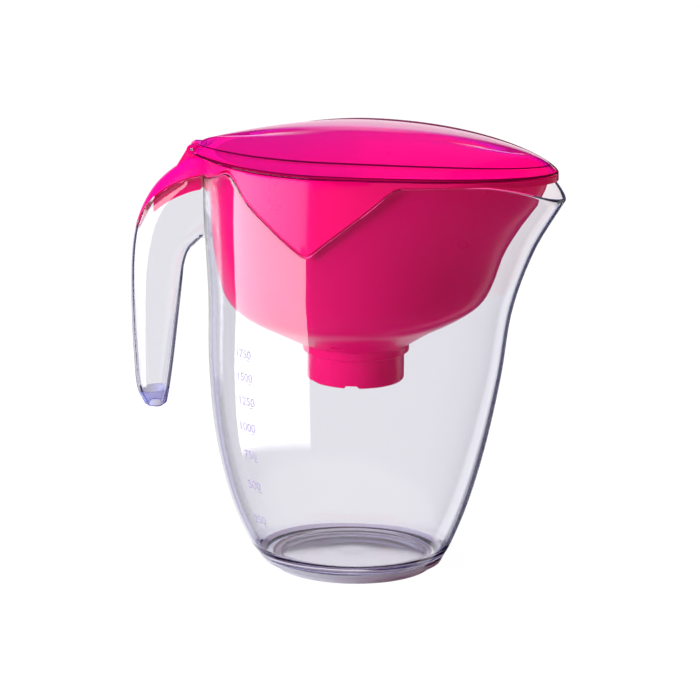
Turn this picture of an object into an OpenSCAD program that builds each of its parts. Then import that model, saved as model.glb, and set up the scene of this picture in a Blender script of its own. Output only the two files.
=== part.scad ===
// Water filter pitcher: a clear jug with a hollow handle, a funnel that sits in its mouth,
// a tinted dome lid hinged over the handle, and a drop-in filter cartridge.
// X runs from the handle (-X) to the spout (+X), Z is up, and the origin is the middle of
// the foot ring's underside. The pitcher is the same on both sides of the XZ plane.

/* [Jug] */
// Height of the jug's rim at its highest
jug_h = 238; // [234:1:241]
// Outer radius of the foot ring
foot_r = 45.5; // [42:0.5:47]
// Height of the foot ring
foot_h = 4; // [3:0.5:5]
// Wall of the jug
jug_wall = 2.5; // [2:0.1:3]
// Half width of the jug at the rim
jug_half = 77; // [76:0.5:79]
// Reach of the spout in front of the foot's middle
spout_reach = 125; // [122:0.5:128]
// Lowest height of the notch in each side of the rim
notch_z = 198; // [194:1:204]

/* [Handle] */
// Half width of the handle
handle_half = 13; // [12:0.5:14]
// Wall of the hollow handle
handle_wall = 2.2; // [1.8:0.1:2.6]

/* [Funnel] */
// Wall of the funnel
funnel_wall = 2; // [1.6:0.1:2.4]
// Height of the cartridge seat in the funnel's floor
seat_z = 134; // [133:0.5:135]
// Height of the underside of the cartridge sleeve
sleeve_z = 110; // [108:1:112]
// Bore radius of the cartridge sleeve
sleeve_r = 25.2; // [25:0.1:25.6]
// Gap between the funnel and the jug's rim
rim_gap = 0.7; // [0.6:0.05:0.9]
// Gap between the funnel and the lid's edge
lid_gap = 0.4; // [0.3:0.05:0.6]

/* [Lid] */
// Wall of the lid
lid_wall = 2; // [1.8:0.1:2.4]
// Height of the crease above the lid's edge
crease_h = 5; // [4:0.5:6]
// Height of the ridge above the lid's edge
ridge_h = 11; // [9:0.5:13]
// Diameter of the hinge pin
pin_d = 2; // [1.8:0.1:2.2]

/* [Cartridge] */
// Outer radius of the cartridge where it is in the sleeve
cup_r = 24.6; // [24.2:0.1:24.8]
// Height of the top edge of the cartridge's cup
cup_top = 158; // [154:1:162]
// Wall of the cartridge's cup
cup_wall = 1.4; // [1.2:0.1:1.6]

/* [Hidden] */

ring_n = 72;              // points round each ring of the jug and the funnel
clear_col = [0.86, 0.88, 0.95, 0.35];
pink = [0.93, 0.0, 0.47];
tint = [0.85, 0.0, 0.42, 0.6];

// ---- smooth curves through a few stations ----

// slope at station i of column c, from its two neighbours
function slope(t, i, c) =
  let (a = max(i - 1, 0), b = min(i + 1, len(t) - 1))
  (t[b][c] - t[a][c]) / (t[b][0] - t[a][0]);

// the station at or below z
function below(t, z, i = 0) = (i >= len(t) - 2 || z < t[i + 1][0]) ? i : below(t, z, i + 1);

// column c of table t at z, as a cubic through the stations
function at(t, z, c) =
  let (
    i = below(t, z),
    h = t[i + 1][0] - t[i][0],
    u = (z - t[i][0]) / h,
    u2 = u * u,
    u3 = u2 * u
  )
  (2 * u3 - 3 * u2 + 1) * t[i][c] + (u3 - 2 * u2 + u) * h * slope(t, i, c)
  + (3 * u2 - 2 * u3) * t[i + 1][c] + (u3 - u2) * h * slope(t, i + 1, c);

function mix(a, b, u) = a + (b - a) * u;
function ramp(z, z0, z1) = min(max((z - z0) / (z1 - z0), 0), 1);

// ---- solids from rings of points ----

// closed solid through rings of n points, which start on the XZ plane
module loft(rings) {
  n = len(rings[0]);
  m = len(rings);
  pts = [for (r = rings) for (p = r) p];
  polyhedron(pts, concat(sides(n, m, 0), end_cap(0, n, false), end_cap((m - 1) * n, n, true)), convexity = 8);
}

// solid through rings that come back to the first ring, like a tyre
module closed_loft(rings) {
  n = len(rings[0]);
  m = len(rings);
  pts = [for (r = rings) for (p = r) p];
  polyhedron(pts, sides(n, m, 1), convexity = 8);
}

// walls between the rings, and between the last and the first where they close
function sides(n, m, closed) = [
  for (j = [0:m - 2 + closed])
    for (i = [0:n - 1])
      let (k = (i + 1) % n, a = j * n, b = ((j + 1) % m) * n)
      each [[a + i, b + i, b + k], [a + i, b + k, a + k]]
];

// strips that join each point of a ring to its mirror image
function end_cap(o, n, up) =
  let (
    h = n / 2,
    tris = [
      for (i = [0:h - 1])
        let (a = i, b = i + 1, c = n - i - 1, d = (n - i) % n)
        each concat(i < h - 1 ? [[a, c, b]] : [], i > 0 ? [[a, d, c]] : [])
    ]
  )
  [for (t = tris) up ? [o + t[0], o + t[1], o + t[2]] : [o + t[0], o + t[2], o + t[1]]];

// makes one clean mesh of everything in it
module one_mesh() resize([0, 0, 0]) children();

// prism of an outline drawn in the XZ plane, across the whole width
module across(half = 120) {
  rotate([90, 0, 0]) linear_extrude(height = 2 * half, center = true) children();
}

// ---- plan shape: two half outlines that meet at the widest place ----

// the powers turn a half ellipse (1) into a pointed leaf (2), and fold creases the side
function plan_point(a, mid, rear, front, half, rear_pow, front_pow, fold) =
  let (
    c = cos(a),
    s = sin(a),
    w = (1 - fold) * pow(abs(s), c < 0 ? rear_pow : front_pow) + fold * (1 - abs(c))
  )
  [mid + (c < 0 ? mid - rear : front - mid) * c, sign(s) * half * w];

// angles round a ring, closer together at the sides than at the two ends
function ring_angle(i) = let (a = 360 * i / ring_n) a + 14 * sin(2 * a);

// point i of the ring at height z: round up to round_z, and more pointed above it
function shell_point(i, z, table, in, round_z) =
  let (
    point = ramp(z, round_z, 240),
    p = plan_point(ring_angle(i), -13 * ramp(z, round_z - 15, 170), at(table, z, 1) + in,
      at(table, z, 2) - in, at(table, z, 3) - in, 1 + 0.25 * point, 1 + 0.36 * point,
      0.13 * ramp(z, round_z, 180))
  )
  [p[0], p[1], z];

// ---- the rim of the jug ----

// the rim seen from the side: it falls to the spout in front, dips in a notch in each side
// and falls along the top of the handle behind
rim_line = [
  [-140, 170],
  [-128, 192],
  [-121, 205],
  [-110, 215.5],
  [-97, 222.5],
  [-86, 226],
  [-75, 231.5],
  [-64, jug_h - 2],
  [-52, mix(notch_z, jug_h, 0.64)],
  [-38, mix(notch_z, jug_h, 0.38)],
  [-24, mix(notch_z, jug_h, 0.13)],
  [-14, notch_z],
  [-5, mix(notch_z, jug_h, 0.16)],
  [24, mix(notch_z, jug_h, 0.76)],
  [34, jug_h - 0.8],
  [42, jug_h],
  [80, jug_h - 1],
  [92, jug_h - 3.5],
  [104, jug_h - 8],
  [116, jug_h - 14.5],
  [128, jug_h - 20],
  [140, jug_h - 24]
];
function rim_z(x) = at(rim_line, x, 1);

// height at which column i of a shell meets the rim line, found in a few steps
function rim_height(i, table, in, round_z, z = 230, n = 6) =
  n == 0 ? z : rim_height(i, table, in, round_z, mix(z, rim_z(shell_point(i, z, table, in, round_z)[0]), 0.8), n - 1);

// ---- jug ----

// outline of the jug: [height, reach behind, reach in front, half width], in round millimetres
jug_outline = [
  [foot_h, -52, 51, 49.5],
  [15, -60, 57, 57],
  [40, -71, 66.5, 65.5],
  [75, -80, 76, 71.5],
  [115, -84.5, 84, 74],
  [155, -85.5, 90, 75.5],
  [190, -88, 102, 76.5],
  [215, -89, spout_reach - 9, 76.8],
  [246, -89, spout_reach + 10, jug_half]
];
jug_steps = [0, 0.008, 0.02, 0.045, 0.08, 0.12, 0.17, 0.24, 0.32, 0.4, 0.48, 0.56, 0.64, 0.72, 0.79, 0.86, 0.93, 1];
jug_floor = 8;
jug_corner = 8;           // radius of the corner between the floor and the wall

// outside of the jug at share u of each column's height
function jug_ring(u, in = 0) = [
  for (i = [0:ring_n - 1])
    shell_point(i, mix(foot_h, rim_height(i, jug_outline, in, 40), u), jug_outline, in, 40)
];

// inside of the jug's corner at angle a up from the floor
function corner_ring(a) = [
  for (i = [0:ring_n - 1])
    shell_point(i, jug_floor + jug_corner * (1 - cos(a)), jug_outline, jug_wall + jug_corner * (1 - sin(a)), 40)
];

module jug_shell() {
  loft(concat(
    [for (u = jug_steps) jug_ring(u)],
    [for (j = [len(jug_steps) - 1:-1:4]) jug_ring(jug_steps[j], jug_wall)],
    [for (a = [90:-22.5:0]) corner_ring(a)]
  ));
}

module foot_ring() {
  rotate_extrude($fn = ring_n)
  polygon([
    [foot_r - 3.5, 0],
    [foot_r - 0.6, 0],
    [foot_r, 0.6],
    [foot_r + 0.6, foot_h + 1],
    [foot_r - 4, foot_h + 1]
  ]);
}

// stations down the handle: [outer x, outer z, inner x, inner z, share of the full half width]
handle_stations = [
  [-97, 234, -90.5, 186, 1],
  [-110.5, 223.5, -94.5, 182, 1],
  [-119, 214, -98.5, 177, 1],
  [-125.5, 201.5, -101, 169, 1],
  [-129.5, 187, -102, 160, 0.98],
  [-131, 167, -103, 149, 0.96],
  [-130.5, 140, -104.5, 134, 0.93],
  [-129, 115, -106.5, 115, 0.9],
  [-127, 97, -108.5, 99, 0.87],
  [-122.5, 88, -110.5, 87.5, 0.75]
];
handle_n = 28;

// oval outline of the handle's section: [towards the outside, sideways], each from -1 to 1
function oval(i) =
  let (a = 360 * i / handle_n)
  [sign(cos(a)) * pow(abs(cos(a)), 0.8), sign(sin(a)) * pow(abs(sin(a)), 0.8)];

function handle_ring(s, in) =
  let (
    d = [s[0] - s[2], s[1] - s[3]] / 2,
    f = (norm(d) - in) / norm(d)
  )
  [
    for (i = [0:handle_n - 1])
      [(s[0] + s[2]) / 2 + d[0] * f * oval(i)[0], (handle_half * s[4] - in) * oval(i)[1],
        (s[1] + s[3]) / 2 + d[1] * f * oval(i)[0]]
  ];

// root of the handle, which lies in the middle of the jug's curved wall
function root_ring(in) = [
  for (i = [0:handle_n - 1])
    let (y = (handle_half - in) * oval(i)[1], z = 212 + (25 - in) * oval(i)[0])
    [at(jug_outline, z, 1) + 1.3 + 2.4 * pow(y / handle_half, 2), y, z]
];

module handle() {
  closed_loft(concat(
    [root_ring(0)],
    [for (s = handle_stations) handle_ring(s, 0)],
    [for (j = [len(handle_stations) - 1:-1:0]) handle_ring(handle_stations[j], handle_wall)],
    [root_ring(handle_wall)]
  ));
}

// everything above the rim line behind the jug, seen from the side
module above_rim(lift) {
  polygon(concat(
    [for (x = [-140:4:-72]) [x, rim_z(x) + lift]],
    [[-72, 290], [-140, 290]]
  ));
}

module jug_body() {
  color(clear_col) {
    one_mesh() {
      jug_shell();
      difference() {
        handle();
        across() above_rim(-0.3);
      }
    }
    foot_ring();
  }
}

// ---- lid outline ----

lid_rear = -99;
lid_front = 115;
lid_half = 76.5;
lid_mid = -6;
lid_centre = 8;           // middle of the lid's length
lid_tip_z = 235.8;        // height of the lid's edge at its two ends
lid_side_z = 242.8;       // height of the lid's edge at its sides
lid_rear_pow = 1.84;
lid_front_pow = 1.39;

// height of the lid's edge along its length
function lid_edge_z(x) = mix(lid_side_z, lid_tip_z, pow((x - lid_centre) / 107, 2));

function lid_point(a, in) =
  plan_point(a, lid_mid, lid_rear + in * 1.6, lid_front - in, lid_half - in, lid_rear_pow, lid_front_pow, 0);

// half width of the lid at x
function lid_half_at(x) =
  let (c = x < lid_mid ? (lid_mid - x) / (lid_mid - lid_rear) : (x - lid_mid) / (lid_front - lid_mid))
  lid_half * pow(sqrt(max(1 - c * c, 0)), x < lid_mid ? lid_rear_pow : lid_front_pow);

// ---- funnel ----

// outline of the funnel where it hangs in the jug: [height, reach behind, in front, half width]
funnel_outline = [
  [132, -31, 31, 31],
  [141, -50, 45, 48],
  [149, -66, 60, 62],
  [157, -74.5, 71, 68.5],
  [168, -78.5, 77.5, 71],
  [188, -83, 84.5, 72.3],
  [206, -84.5, 95, 72.8],
  [222, -84.5, 106, 73],
  [246, -84.5, 113, 73]
];
funnel_steps = [136, 141, 145, 149, 153, 157, 162, 168, 178];
funnel_shares = [0.2, 0.4, 0.6, 0.8, 1];
ledge_t = 4;              // thickness of the ledge under the front of the lid

// underside of the aprons and the ledge, and their top, along the length, with a little
// more room over the rim's rear peak
function under_z(x) =
  max(rim_z(x) + rim_gap + 1.6 * max(0, 1 - abs(x + 65) / 9), x < 50 ? 0 : lid_edge_z(x) - ledge_t);
function top_z(x) = lid_edge_z(x) - lid_gap;

function funnel_x(i, z, in) = shell_point(i, z, funnel_outline, in, 132)[0];

// height at which column i of the funnel's outside meets the underside of the aprons
function meet_z(i, z = 225, n = 6) = n == 0 ? z : meet_z(i, mix(z, under_z(funnel_x(i, z, 0)), 0.8), n - 1);

// height at which column i of the funnel's inside meets the top
function mouth_z(i, z = 238, n = 5) = n == 0 ? z : mouth_z(i, top_z(funnel_x(i, z, funnel_wall)), n - 1);

function funnel_ring(z, in) = [for (i = [0:ring_n - 1]) shell_point(i, z, funnel_outline, in, 132)];

// ring at share u of the way from the highest level ring up to the aprons, or up to the mouth
function wall_ring(u) = [
  for (i = [0:ring_n - 1]) shell_point(i, mix(178, meet_z(i), u), funnel_outline, 0, 132)
];
function mouth_ring(u) = [
  for (i = [0:ring_n - 1]) shell_point(i, mix(178, mouth_z(i), u), funnel_outline, funnel_wall, 132)
];

// aprons and ledge: flush with the jug's outside, and inside the lid's outline in front
function apron_ring(u) = [
  for (i = [0:ring_n - 1])
    let (
      a = ring_angle(i),
      c = cos(a),
      x = c < 0 ? mix(-13, -88.8, -c) : mix(-13, lid_front - 0.3, c),
      z = mix(under_z(x), top_z(x), u)
    )
    [x, sign(sin(a)) * min(jug_half_at(x, z), lid_half_at(x) + 0.5), z]
];

// half width of the jug's outside at x and z
function jug_half_at(x, z) =
  let (
    reach = x < -13 ? at(jug_outline, z, 1) : at(jug_outline, z, 2),
    c = min((x + 13) / (reach + 13), 1),
    point = ramp(z, 40, 240),
    s = pow(sqrt(1 - c * c), x < -13 ? 1 + 0.25 * point : 1 + 0.36 * point)
  )
  at(jug_outline, z, 3) * (0.87 * s + 0.13 * (1 - c));

module funnel_shell() {
  loft(concat(
    [funnel_ring(132, 0)],
    [for (z = funnel_steps) funnel_ring(z, 0)],
    [for (u = funnel_shares) wall_ring(u)],
    [for (u = [0, 0.35, 0.7, 1]) apron_ring(u)],
    [for (j = [len(funnel_shares) - 1:-1:0]) mouth_ring(funnel_shares[j])],
    [for (j = [len(funnel_steps) - 1:-1:0]) funnel_ring(funnel_steps[j], funnel_wall)],
    [funnel_ring(seat_z, funnel_wall)]
  ));
}

sleeve_wall = 2.2;
sleeve_step_z = 126;      // where the sleeve widens into its collar
sleeve_band = 2.7;        // how far the collar stands out
sleeve_lip = 3;           // width of the lip at the sleeve's foot

module sleeve() {
  r = sleeve_r + sleeve_wall;
  rotate_extrude($fn = ring_n)
  polygon([
    [sleeve_r - 4, sleeve_z],
    [r - 1.2, sleeve_z],
    [r, sleeve_z + 1.5],
    [r, sleeve_step_z],
    [r + sleeve_band, sleeve_step_z + 1],
    [r + sleeve_band, seat_z - 1],
    [sleeve_r - 4, seat_z - 1]
  ]);
}

// bore that the cartridge drops into, with a lip left at its foot and a notch on each side
module sleeve_bore() {
  translate([0, 0, sleeve_z + 2]) cylinder(h = 40, r = sleeve_r, $fn = ring_n);
  translate([0, 0, sleeve_z - 1]) cylinder(h = 40, r = sleeve_r - sleeve_lip, $fn = ring_n);
  translate([3, 0, sleeve_z]) cube([7, 80, 3.4], center = true);
}

// top of the tail that covers the handle's hollow: [x, height, half width]
tail_stations = [
  [-128.6, 193.4, 6],
  [-127.2, 197.6, 8],
  [-124.5, 203.6, 9.6],
  [-121, 210, 10.6],
  [-116.5, 216.8, 11.4],
  [-111, 222.8, 12],
  [-105, 228.5, 12.6],
  [-99.6, 233.6, 13],
  [-97, 235, 13],
  [-93, 235.2, 13],
  [-89, 235.2, 13],
  [-86.3, 235.2, 13]
];
tail_n = 20;
tongue_half = 6;          // the tongue under the tail lies in the handle's hollow
tongue_drop = 9;

// arched section of the tail, flat underneath
function tail_ring(s) = [
  for (i = [0:tail_n - 1])
    let (
      a = 360 * i / tail_n,
      base = rim_z(s[0]) + rim_gap + ramp(s[0], -95, -89),
      up = max(cos(a), 0)
    )
    [s[0], -s[2] * sign(sin(a)) * pow(abs(sin(a)), 0.75), cos(a) > 0 ? mix(base, s[1], pow(up, 0.8)) : base]
];

module tail() {
  loft([for (s = tail_stations) tail_ring(s)]);
}

module tongue() {
  across(tongue_half)
  polygon(concat(
    [for (x = [-114:4:-90]) [x, rim_z(x) - tongue_drop]],
    [for (x = [-90:-4:-114]) [x, rim_z(x) + 1.6]]
  ));
}

// ---- lid hinge ----

hinge_x = -95.5;
hinge_z = 238.8;
barrel_r = 2.8;
lug_half = 3;             // half width of the funnel's lug in the middle of the hinge
barrel_half = 6.6;        // half length of the whole hinge
side_play = 0.4;
bore_r = pin_d / 2 + 0.05;

module hinge_cylinder(r, half) {
  translate([hinge_x, 0, hinge_z]) rotate([90, 0, 0]) cylinder(h = 2 * half, r = r, center = true, $fn = 48);
}

// the lug's back runs down into the tail
module hinge_lug() {
  difference() {
    hull() {
      hinge_cylinder(barrel_r - 0.1, lug_half);
      translate([hinge_x - 9, -lug_half, 227.5]) cube([11.6, 2 * lug_half, 1.2]);
    }
    hinge_cylinder(bore_r, 10);
  }
}

module funnel() {
  color(pink) {
    one_mesh()
    difference() {
      union() {
        funnel_shell();
        sleeve();
        tail();
        tongue();
      }
      sleeve_bore();
    }
    hinge_lug();
  }
}

// ---- lid ----

lid_n = 72;               // points round each ring of the lid

// [share of the half width, share of the length, height above the edge] from the edge to the ridge
lid_steps = [
  [1, 1, 0],
  [0.985, 0.996, 1.2],
  [0.72, 0.955, crease_h],
  [0.6, 0.93, mix(crease_h, ridge_h, 0.3)],
  [0.46, 0.9, mix(crease_h, ridge_h, 0.58)],
  [0.32, 0.86, mix(crease_h, ridge_h, 0.79)],
  [0.18, 0.8, mix(crease_h, ridge_h, 0.93)],
  [0.05, 0.7, ridge_h]
];

function lid_ring(step, in, drop) = [
  for (i = [0:lid_n - 1])
    let (p = lid_point(360 * i / lid_n, in))
    [lid_centre + (p[0] - lid_centre) * step[1], p[1] * step[0], lid_edge_z(p[0]) + step[2] - drop]
];

module lid_outside() loft([for (s = lid_steps) lid_ring(s, 0, 0)]);

module lid_inside() {
  loft([for (s = lid_steps) if (s[2] != 1.2) lid_ring(s, lid_wall, s[2] == 0 ? 2 : lid_wall)]);
}

module lid() {
  color(tint) {
    one_mesh()
    difference() {
      lid_outside();
      lid_inside();
      // the leaf's tip gives way to the hinge barrel
      translate([-120, -30, 220]) cube([-93.4 + 120, 60, 50]);
      translate([-120, -lug_half - side_play, 220]) cube([-91 + 120, 2 * (lug_half + side_play), 50]);
    }
    for (side = [-1, 1])
      difference() {
        w = barrel_half - lug_half - side_play;
        translate([0, side * (lug_half + side_play + w / 2), 0])
        hull() {
          hinge_cylinder(barrel_r, w / 2);
          translate([-89, -w / 2, hinge_z - 1.2]) cube([1, w, 4]);
        }
        hinge_cylinder(bore_r, 10);
      }
  }
}

module hinge_pin() {
  color("silver")
  translate([hinge_x, 0, hinge_z]) rotate([90, 0, 0])
    cylinder(h = 2 * barrel_half - 0.4, r = pin_d / 2, center = true, $fn = 32);
}

// ---- cartridge ----

cup_foot = sleeve_z + 2.6;
cup_step = seat_z + 4.6;  // where the cup widens above its shoulder
head_r = 27;
shoulder_r = 30;
seal_t = 1.8;

module cartridge_cup() {
  color("white")
  difference() {
    rotate_extrude($fn = 96)
    polygon([
      [0, cup_foot],
      [cup_r - 1, cup_foot],
      [cup_r, cup_foot + 1],
      [cup_r, seat_z + 2.2],
      [shoulder_r, seat_z + 2.2],
      [shoulder_r, cup_step],
      [head_r, cup_step],
      [head_r, cup_top],
      [head_r - cup_wall, cup_top],
      [head_r - cup_wall, cup_step],
      [cup_r - cup_wall, cup_step],
      [cup_r - cup_wall, cup_foot + 2],
      [0, cup_foot + 2]
    ]);
    // holes in the foot, where the filtered water leaves
    for (r = [8, 16])
      for (i = [0:(r == 8 ? 5 : 11)])
        rotate([0, 0, i * (r == 8 ? 60 : 30)]) translate([r, 0, cup_foot - 1]) cylinder(h = 4, r = 1.5, $fn = 24);
  }
}

module cartridge_cap() {
  color("whitesmoke") {
    difference() {
      rotate_extrude($fn = 96)
      polygon([
        [0, cup_top + 8],
        [0, cup_top + 9.6],
        [12, cup_top + 9],
        [20, cup_top + 6.4],
        [head_r, cup_top + 2],
        [head_r, cup_top],
        [head_r - cup_wall, cup_top],
        [head_r - cup_wall, cup_top + 1.2],
        [19, cup_top + 5],
        [11.5, cup_top + 7.4]
      ]);
      // slots where the raw water goes in
      for (i = [0:11])
        rotate([0, 0, i * 30 + 15]) translate([13, -0.8, cup_top]) cube([10, 1.6, 12]);
    }
    // finger loop
    translate([0, 0, cup_top + 8.8])
    rotate([90, 0, 0])
    rotate_extrude(angle = 180, $fn = 48)
    translate([8, 0]) circle(r = 1.5, $fn = 24);
  }
}

module disc(z, r, t) translate([0, 0, z]) cylinder(h = t, r = r, $fn = 96);

screen_t = 0.6;
felt_t = 1.2;
fit = 0.15;

module top_screen() color("gainsboro") disc(cup_top - screen_t - 0.1, head_r - cup_wall - fit, screen_t);

module carbon_bed() {
  z = cup_step + felt_t + 0.2;
  color("dimgray") disc(z, head_r - cup_wall - fit, cup_top - screen_t - 0.2 - z);
}

module felt_disc() color("white") disc(cup_step + 0.1, head_r - cup_wall - fit, felt_t);

module resin_bed() {
  z = cup_foot + 2.2 + screen_t;
  color("wheat") disc(z, cup_r - cup_wall - fit, cup_step - z);
}

module bottom_screen() color("gainsboro") disc(cup_foot + 2.1, cup_r - cup_wall - fit, screen_t);

module seal_ring() {
  color("white")
  rotate_extrude($fn = 96)
  translate([cup_r + 1, seat_z + 2.2 - seal_t])
  square([3.4, seal_t]);
}

jug_body();
funnel();
lid();
hinge_pin();
cartridge_cup();
cartridge_cap();
top_screen();
carbon_bed();
felt_disc();
resin_bed();
bottom_screen();
seal_ring();
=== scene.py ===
# Water filter pitcher: clear jug, pink funnel with its filter cartridge, and a tinted flip lid.
# X runs from the handle (-X) to the spout (+X), Z is up, and the foot stands on z = 0.

import math

import bpy
from mathutils import Matrix, Vector


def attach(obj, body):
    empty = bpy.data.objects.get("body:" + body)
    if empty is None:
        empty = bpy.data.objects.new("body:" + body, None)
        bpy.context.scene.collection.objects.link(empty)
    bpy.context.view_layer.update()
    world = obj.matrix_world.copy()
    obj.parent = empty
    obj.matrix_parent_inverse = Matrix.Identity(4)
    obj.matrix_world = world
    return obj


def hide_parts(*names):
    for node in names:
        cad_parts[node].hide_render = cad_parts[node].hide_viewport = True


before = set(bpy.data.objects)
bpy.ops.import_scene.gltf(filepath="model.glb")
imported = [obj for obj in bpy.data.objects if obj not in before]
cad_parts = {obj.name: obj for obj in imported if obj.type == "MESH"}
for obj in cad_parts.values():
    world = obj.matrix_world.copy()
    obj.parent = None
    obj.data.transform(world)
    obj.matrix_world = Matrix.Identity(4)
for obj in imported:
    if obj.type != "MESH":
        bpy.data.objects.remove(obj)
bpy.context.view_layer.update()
mm = 0.001
print("frame loaded:", len(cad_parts), "nodes")


# small tools

def mix(a, b, share):
    return a + (b - a) * share


def ramp(value, low, high):
    return min(max((value - low) / (high - low), 0.0), 1.0)


def ease(stations, place, column):
    # smooth curve through the stations, read at one place along their first column
    i = 0
    while i < len(stations) - 2 and place >= stations[i + 1][0]:
        i += 1

    def slope(k):
        a, b = stations[max(k - 1, 0)], stations[min(k + 1, len(stations) - 1)]
        return (b[column] - a[column]) / (b[0] - a[0])

    step = stations[i + 1][0] - stations[i][0]
    t = (place - stations[i][0]) / step
    start, end = stations[i][column], stations[i + 1][column]
    return ((2 * t**3 - 3 * t**2 + 1) * start + (3 * t**2 - 2 * t**3) * end
            + step * ((t**3 - 2 * t**2 + t) * slope(i) + (t**3 - t**2) * slope(i + 1)))


def signedPower(value, power):
    return math.copysign(abs(value) ** power, value)


def deselectAll():
    if bpy.context.object and bpy.context.object.mode != "OBJECT":
        bpy.ops.object.mode_set(mode="OBJECT")
    bpy.ops.object.select_all(action="DESELECT")


def makeActive(piece):
    deselectAll()
    piece.select_set(True)
    bpy.context.view_layer.objects.active = piece


def applyModifiers(piece):
    makeActive(piece)
    for modifier in list(piece.modifiers):
        bpy.ops.object.modifier_apply(modifier=modifier.name)


def combine(piece, other, operation):
    # joins, cuts or keeps the common part of two closed shapes, and uses the second one up
    modifier = piece.modifiers.new("combine", "BOOLEAN")
    modifier.operation = operation
    modifier.solver = "EXACT"
    modifier.object = other
    applyModifiers(piece)
    bpy.data.objects.remove(other)


def tidyNormals(piece):
    makeActive(piece)
    bpy.ops.object.mode_set(mode="EDIT")
    bpy.ops.mesh.select_all(action="SELECT")
    bpy.ops.mesh.remove_doubles(threshold=0.00001)
    bpy.ops.mesh.normals_make_consistent(inside=False)
    bpy.ops.object.mode_set(mode="OBJECT")


def smoothShade(piece, degrees=35):
    makeActive(piece)
    bpy.ops.object.shade_smooth_by_angle(angle=math.radians(degrees))


def ringStack(name, columns, levels, place, closed=False):
    # a circle extruded up ring by ring, then each ring is drawn out to its own outline:
    # place(angle, level) says where a point of the plain tube goes, in millimetres
    deselectAll()
    lift = 0.01
    bpy.ops.mesh.primitive_circle_add(vertices=columns, radius=0.1, fill_type="NOTHING")
    piece = bpy.context.object
    piece.name = name
    bpy.ops.object.mode_set(mode="EDIT")
    bpy.ops.mesh.select_all(action="SELECT")
    for level in range(levels - 1):
        bpy.ops.mesh.extrude_region_move(TRANSFORM_OT_translate={"value": (0, 0, lift)})
    bpy.ops.object.mode_set(mode="OBJECT")
    for point in piece.data.vertices:
        column = round(math.atan2(point.co.y, point.co.x) * columns / (2 * math.pi))
        level = round(point.co.z / lift)
        point.co = Vector(place(2 * math.pi * column / columns, level)) * mm
    if not closed:
        closeEnds(piece)
    tidyNormals(piece)
    return piece


def closeEnds(piece):
    makeActive(piece)
    bpy.ops.object.mode_set(mode="EDIT")
    bpy.ops.mesh.select_all(action="DESELECT")
    bpy.ops.mesh.select_mode(type="EDGE")
    bpy.ops.mesh.select_non_manifold(extend=False, use_wire=False, use_multi_face=False,
                                     use_non_contiguous=False, use_verts=False)
    bpy.ops.mesh.edge_face_add()
    bpy.ops.mesh.select_mode(type="VERT")
    bpy.ops.object.mode_set(mode="OBJECT")


def block(name, low, high):
    # a plain block between two corners, for cutting and joining
    deselectAll()
    centre = [(a + b) / 2 * mm for a, b in zip(low, high)]
    bpy.ops.mesh.primitive_cube_add(size=1, location=centre)
    piece = bpy.context.object
    piece.name = name
    piece.scale = [(b - a) * mm for a, b in zip(low, high)]
    bpy.ops.object.transform_apply(location=True, rotation=True, scale=True)
    return piece


def sideRod(name, x, z, radius, y0, y1, around=48):
    # a round rod that lies across the pitcher
    deselectAll()
    bpy.ops.mesh.primitive_cylinder_add(vertices=around, radius=radius * mm, depth=abs(y1 - y0) * mm,
                                        location=(x * mm, (y0 + y1) / 2 * mm, z * mm),
                                        rotation=(math.pi / 2, 0, 0))
    piece = bpy.context.object
    piece.name = name
    bpy.ops.object.transform_apply(location=True, rotation=True, scale=True)
    return piece


def hullOf(piece, other):
    # the two pieces joined and wrapped tightly
    makeActive(piece)
    other.select_set(True)
    bpy.ops.object.join()
    bpy.ops.object.mode_set(mode="EDIT")
    bpy.ops.mesh.select_all(action="SELECT")
    bpy.ops.mesh.convex_hull()
    bpy.ops.object.mode_set(mode="OBJECT")
    return piece


# the leaf plan that the jug, the funnel and the lid share

leafHeight = 240.0  # where the plan of the jug and the funnel is fully pointed


def leafPoint(angle, mid, rear, front, half, rearPower, frontPower, fold):
    c, s = math.cos(angle), math.sin(angle)
    width = (1 - fold) * abs(s) ** (rearPower if c < 0 else frontPower) + fold * (1 - abs(c))
    return mid + (mid - rear if c < 0 else front - mid) * c, math.copysign(half * width, s)


def evenAngle(angle):
    return angle + math.radians(14) * math.sin(2 * angle)  # closer together at the sides


def wallPoint(angle, z, outline, inset, roundBelow):
    pointed = ramp(z, roundBelow, leafHeight)
    x, y = leafPoint(evenAngle(angle), -13 * ramp(z, roundBelow - 15, 170), ease(outline, z, 1) + inset,
                     ease(outline, z, 2) - inset, ease(outline, z, 3) - inset, 1 + 0.25 * pointed,
                     1 + 0.36 * pointed, 0.13 * ramp(z, roundBelow, 180))
    return x, y, z


jug = {
    "rimHeight": 238.0,
    "notchHeight": 198.0,
    "spoutReach": 125.0,
    "wall": 2.5,
    "footRadius": 45.5,
    "floorHeight": 8.0,
    "cornerRadius": 8.0,
    "roundBelow": 40,  # the plan is round up to here, and more and more pointed above
    "columns": 160,
}
rimTop, notchLow = jug["rimHeight"], jug["notchHeight"]
rimLine = [  # the rim from the side: x, z
    (-140, 170), (-128, 192), (-121, 205), (-110, 215.5), (-97, 222.5), (-86, 226), (-75, 231.5),
    (-64, rimTop - 2), (-52, mix(notchLow, rimTop, 0.64)), (-38, mix(notchLow, rimTop, 0.38)),
    (-24, mix(notchLow, rimTop, 0.13)), (-14, notchLow), (-5, mix(notchLow, rimTop, 0.16)),
    (24, mix(notchLow, rimTop, 0.76)), (34, rimTop - 0.8), (42, rimTop), (80, rimTop - 1),
    (92, rimTop - 3.5), (104, rimTop - 8), (116, rimTop - 14.5), (128, rimTop - 20), (140, rimTop - 24),
]
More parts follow.
